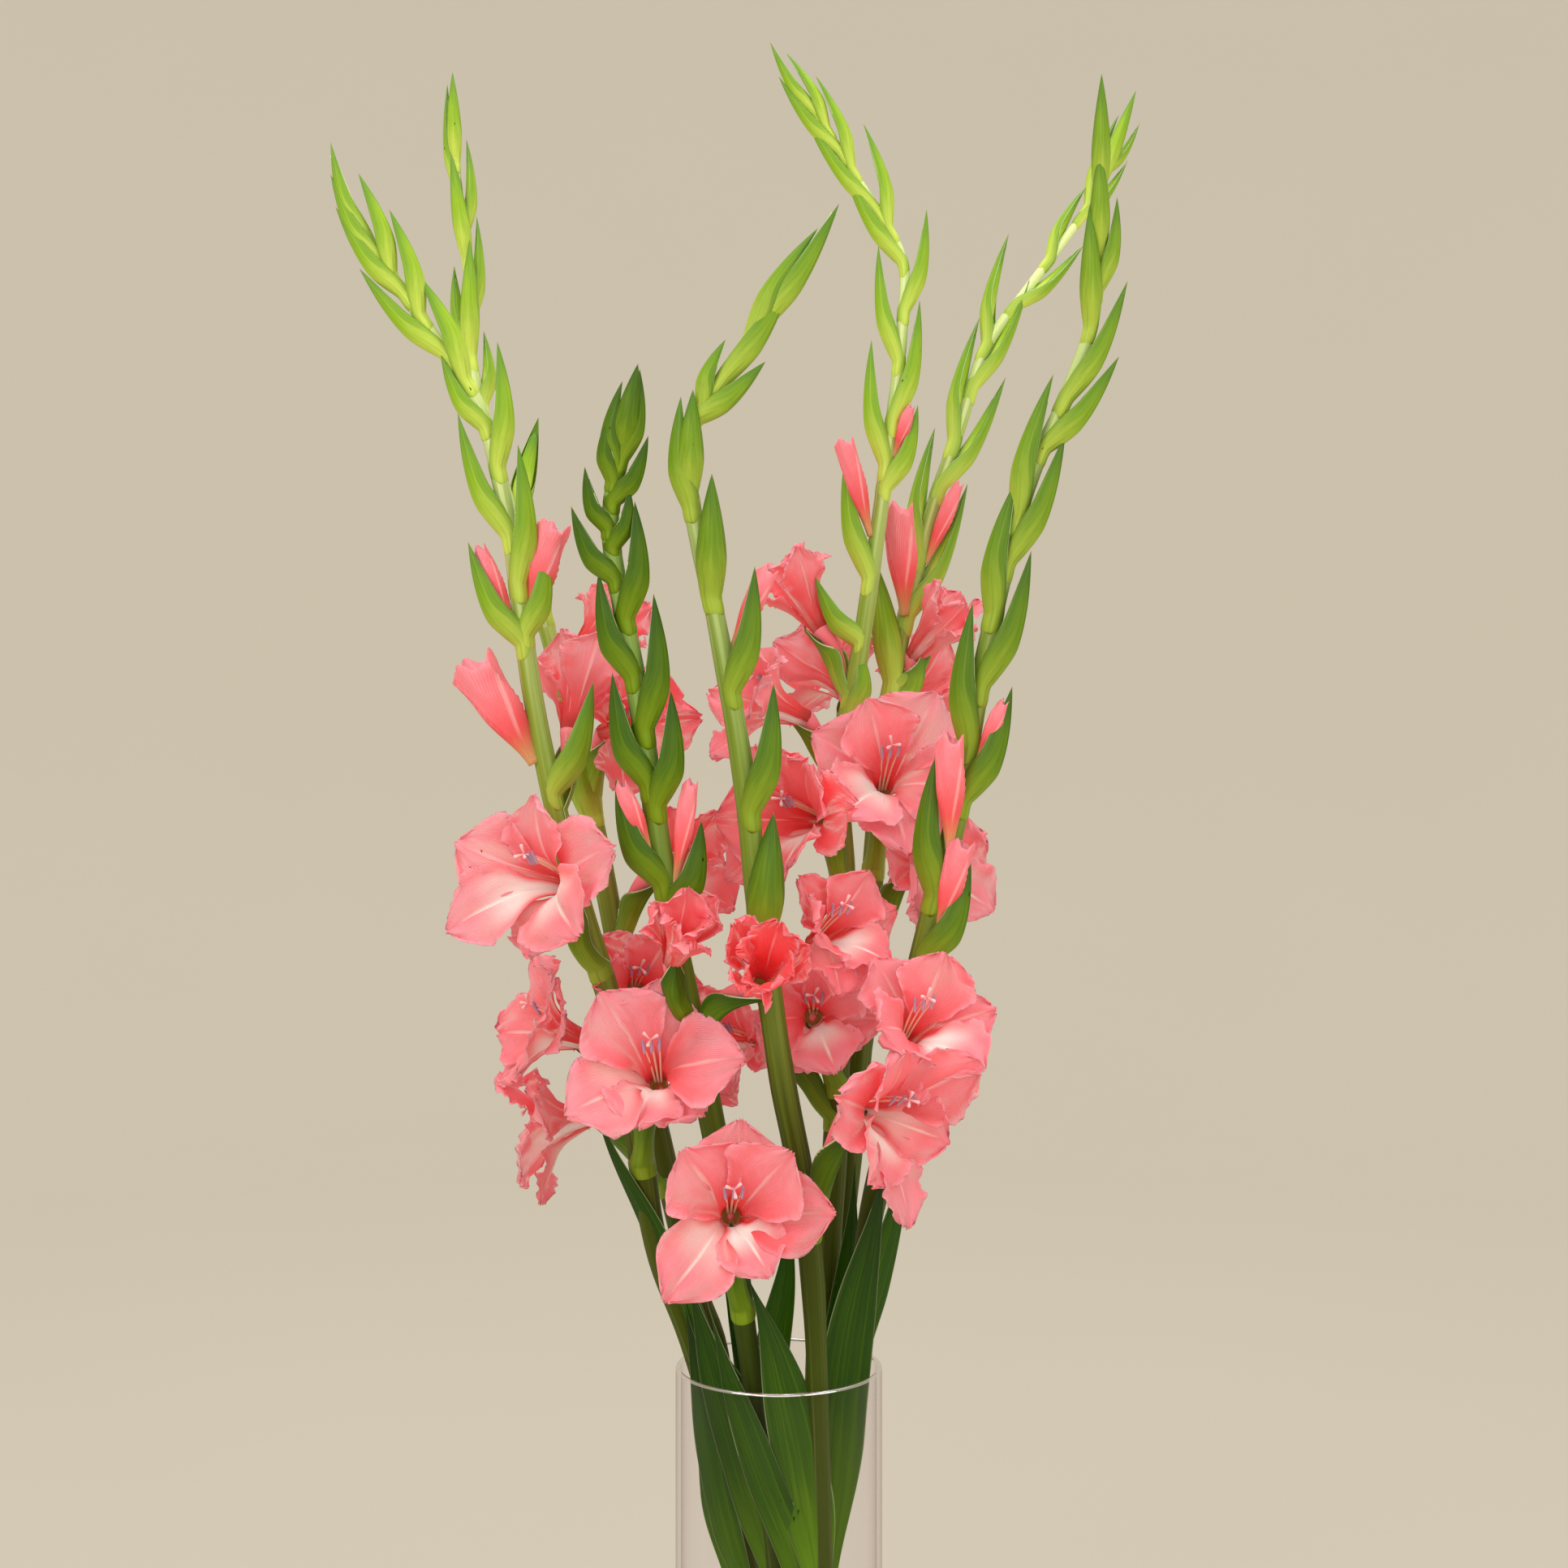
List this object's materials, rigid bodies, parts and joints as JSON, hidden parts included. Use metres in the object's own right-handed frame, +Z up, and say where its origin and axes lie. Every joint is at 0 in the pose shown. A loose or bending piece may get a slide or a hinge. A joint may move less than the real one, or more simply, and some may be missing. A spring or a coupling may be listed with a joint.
{
  "type": "cut gladiolus",
  "caption": "Cut gladiolus stems with ruffled salmon-pink florets, buds and green bracts, standing in a clear glass cylinder vase of water.",
  "frame": {"origin": "centre of the vase's flat base, on the surface that it stands on", "axes": "+Z up, the vase's axis; +X to the right and -Y towards the viewer in the front view"},
  "size_m": [0.475, 0.2853, 1.0882],
  "materials": {
    "glass": "clear, polished",
    "water": "clear still water",
    "green_lime": "waxy green stem, bracts and leaves",
    "green_mid": "waxy green stem, bracts and leaves",
    "green_dark": "waxy dark green stem, bracts and leaf",
    "petal": "soft satin petals, salmon pink with a white throat",
    "bud": "soft satin furled petals, pink"
  },
  "bodies": {
    "root": {"vase": "glass", "water": "water", "spike_bent": "green_mid", "spike_left": "green_lime", "spike_left_back": "green_lime", "spike_right": "green_mid", "spike_right_back": "green_lime", "spike_short": "green_dark", "spike_tall": "green_lime", "bud_bent": "bud", "bud_left": "bud", "bud_left_right": "bud", "bud_left_wide": "bud", "bud_right": "bud", "bud_right_back": "bud", "bud_right_low": "bud", "bud_right_opening": "bud", "bud_right_tip": "bud", "bud_short_left": "bud", "bud_short_right": "bud", "bud_tall": "bud", "bud_tall_right": "bud", "bloom_back_left": "petal", "bloom_back_low": "petal", "bloom_back_top": "petal", "bloom_behind_centre": "petal", "bloom_behind_left": "petal", "bloom_centre": "petal", "bloom_centre_right": "petal", "bloom_front": "petal", "bloom_front_left": "petal", "bloom_front_right": "petal", "bloom_left": "petal", "bloom_left_low": "petal", "bloom_left_lowest": "petal", "bloom_left_upper": "petal", "bloom_middle": "petal", "bloom_middle_left": "petal", "bloom_right_back": "petal", "bloom_right_low": "petal", "bloom_right_top": "petal", "bloom_short_half": "petal", "bloom_tall_back": "petal", "bloom_tall_low": "petal", "bloom_tall_side": "petal", "bloom_tall_top": "petal", "bloom_upper_right": "petal"}
  },
  "joints": []
}
